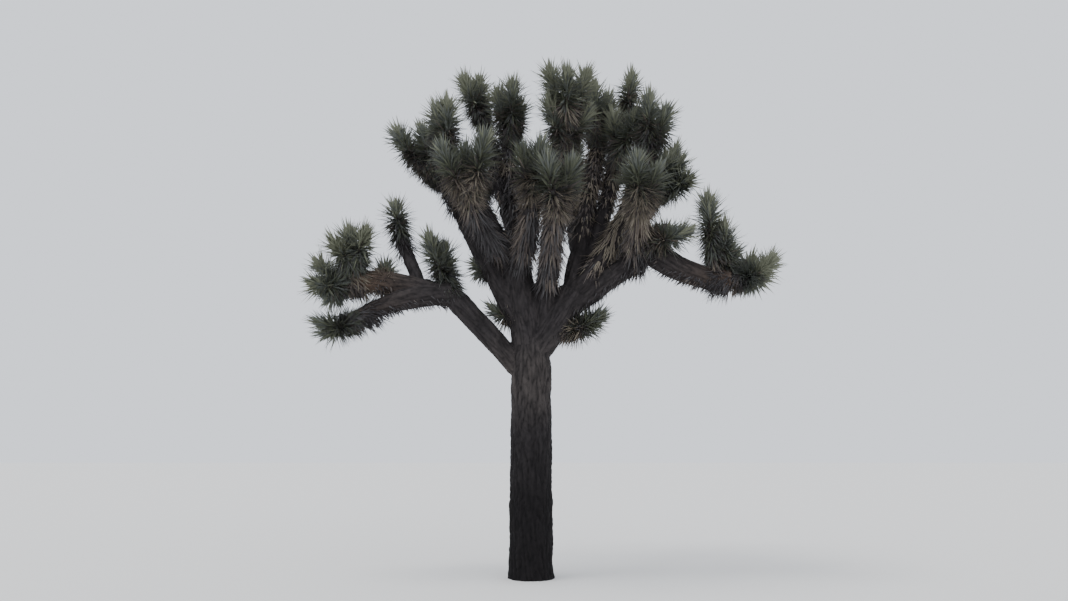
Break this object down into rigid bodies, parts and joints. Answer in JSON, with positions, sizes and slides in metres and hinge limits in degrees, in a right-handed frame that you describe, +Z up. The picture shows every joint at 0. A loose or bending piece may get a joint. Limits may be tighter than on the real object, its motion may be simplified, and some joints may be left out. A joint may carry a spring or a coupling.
{
  "type": "joshua tree",
  "caption": "Rooted joshua tree with a stout bare trunk forking into spreading boughs, each ending in upright rosettes of stiff dagger leaves.",
  "frame": {"origin": "middle of the trunk's flat cut at ground level", "axes": "+Z up along the trunk, +X to the right and -Y towards someone who looks at the side shown in the picture"},
  "size_m": [6.7599, 3.9989, 7.6581],
  "materials": {
    "bark": "matte",
    "foliage": "matte"
  },
  "bodies": {
    "root": {"trunk": "bark", "left_stem": "bark", "right_stem": "bark", "left_low_bough": "bark", "left_low_arm": "bark", "left_end_arm": "bark", "left_upright_bough": "bark", "left_outer_bough": "bark", "left_bough": "bark", "left_mid_bough": "bark", "left_top_bough": "bark", "front_left_bough": "bark", "front_mid_bough": "bark", "back_left_bough": "bark", "back_left_low_bough": "bark", "centre_bough": "bark", "front_centre_bough": "bark", "centre_right_bough": "bark", "right_bough": "bark", "right_top_bough": "bark", "right_outer_bough": "bark", "right_low_bough": "bark", "front_right_bough": "bark", "right_low_arm": "bark", "back_right_bough": "bark", "back_mid_bough": "bark", "back_low_bough": "bark", "left_low_heads": "foliage", "left_end_heads": "foliage", "left_end_top_heads": "foliage", "left_small_head": "foliage", "left_upright_head": "foliage", "left_elbow_head": "foliage", "left_outer_heads": "foliage", "left_side_head": "foliage", "left_foot_head": "foliage", "left_heads": "foliage", "left_mid_heads": "foliage", "left_top_heads": "foliage", "front_left_heads": "foliage", "front_mid_heads": "foliage", "back_left_heads": "foliage", "back_left_low_heads": "foliage", "centre_heads": "foliage", "front_centre_heads": "foliage", "centre_right_heads": "foliage", "right_top_head": "foliage", "right_heads": "foliage", "front_right_heads": "foliage", "right_outer_heads": "foliage", "right_end_heads": "foliage", "right_arm_heads": "foliage", "right_side_heads": "foliage", "right_foot_heads": "foliage", "back_right_heads": "foliage", "back_mid_heads": "foliage", "back_low_heads": "foliage", "right_arm_top_head": "foliage", "centre_low_heads": "foliage", "right_top_low_heads": "foliage"}
  },
  "joints": []
}
